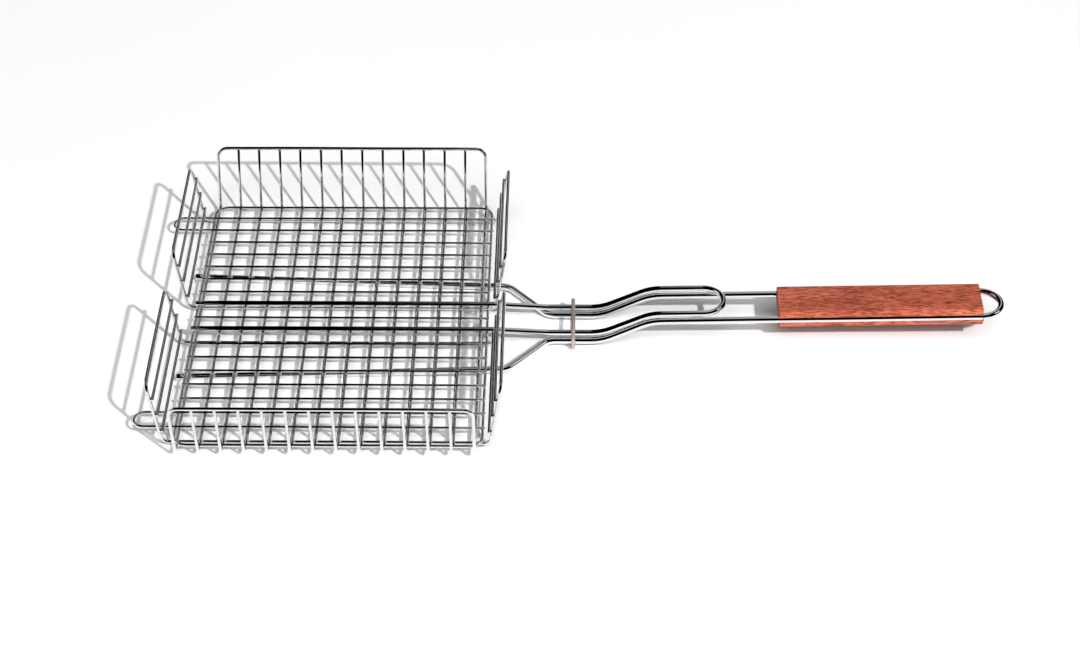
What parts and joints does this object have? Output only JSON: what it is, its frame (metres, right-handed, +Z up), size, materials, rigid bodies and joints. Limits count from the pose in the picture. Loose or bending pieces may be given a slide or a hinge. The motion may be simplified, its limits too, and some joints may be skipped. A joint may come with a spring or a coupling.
{
  "type": "grill basket",
  "caption": "Wire grill basket with leaning walls, a hinged wire lid, paired cranked handles, a wood grip with a hanging loop and a sliding lock ring.",
  "frame": {"origin": "on the plane under the tray's heavy rod, at the centre of the tray floor", "axes": "+X towards the wood grip, +Y towards the far wall, +Z up"},
  "size_m": [0.7417, 0.387, 0.0689],
  "materials": {
    "chrome": "polished",
    "rosewood": "satin"
  },
  "bodies": {
    "basket": {"handle_rod": "chrome", "wood_grip": "rosewood", "side_wall_frame": "chrome", "end_wall_frame_far": "chrome", "end_wall_frame_near": "chrome", "tray_wire_01": "chrome", "tray_wire_02": "chrome", "tray_wire_03": "chrome", "tray_wire_04": "chrome", "tray_wire_05": "chrome", "tray_wire_06": "chrome", "tray_wire_07": "chrome", "tray_wire_08": "chrome", "tray_wire_09": "chrome", "tray_wire_10": "chrome", "tray_wire_11": "chrome", "tray_wire_12": "chrome", "flap_bar_left_far_low": "chrome", "flap_bar_left_far_mid": "chrome", "flap_bar_left_far_high": "chrome", "flap_bar_left_near_low": "chrome", "flap_bar_left_near_mid": "chrome", "flap_bar_left_near_high": "chrome", "flap_bar_right_far_low": "chrome", "flap_bar_right_far_mid": "chrome", "flap_bar_right_far_high": "chrome", "flap_bar_right_near_low": "chrome", "flap_bar_right_near_mid": "chrome", "flap_bar_right_near_high": "chrome"},
    "lid": {"lid_rim": "chrome", "lid_handle_rod": "chrome", "lid_tongue_far": "chrome", "lid_tongue_near": "chrome", "lid_long_wire_01": "chrome", "lid_long_wire_02": "chrome", "lid_long_wire_03": "chrome", "lid_long_wire_04": "chrome", "lid_long_wire_05": "chrome", "lid_long_wire_06": "chrome", "lid_long_wire_07": "chrome", "lid_long_wire_08": "chrome", "lid_long_wire_09": "chrome", "lid_long_wire_10": "chrome", "lid_long_wire_11": "chrome", "lid_cross_wire_01": "chrome", "lid_cross_wire_02": "chrome", "lid_cross_wire_03": "chrome", "lid_cross_wire_04": "chrome", "lid_cross_wire_05": "chrome", "lid_cross_wire_06": "chrome", "lid_cross_wire_07": "chrome", "lid_cross_wire_08": "chrome", "lid_cross_wire_09": "chrome", "lid_cross_wire_10": "chrome", "lid_cross_wire_11": "chrome", "lid_cross_wire_12": "chrome"},
    "lock": {"lock_ring": "chrome"}
  },
  "joints": [
    {"name": "lid_hinge", "type": "hinge", "parent": "basket", "child": "lid", "pos_m": [-0.13525, 0, 0.0167], "axis": [0, -1, 0], "range_deg": [0, 100]},
    {"name": "lock_slide", "type": "slide", "parent": "basket", "child": "lock", "axis": [1, 0, 0], "range_m": [-0.01, 0.016]}
  ]
}
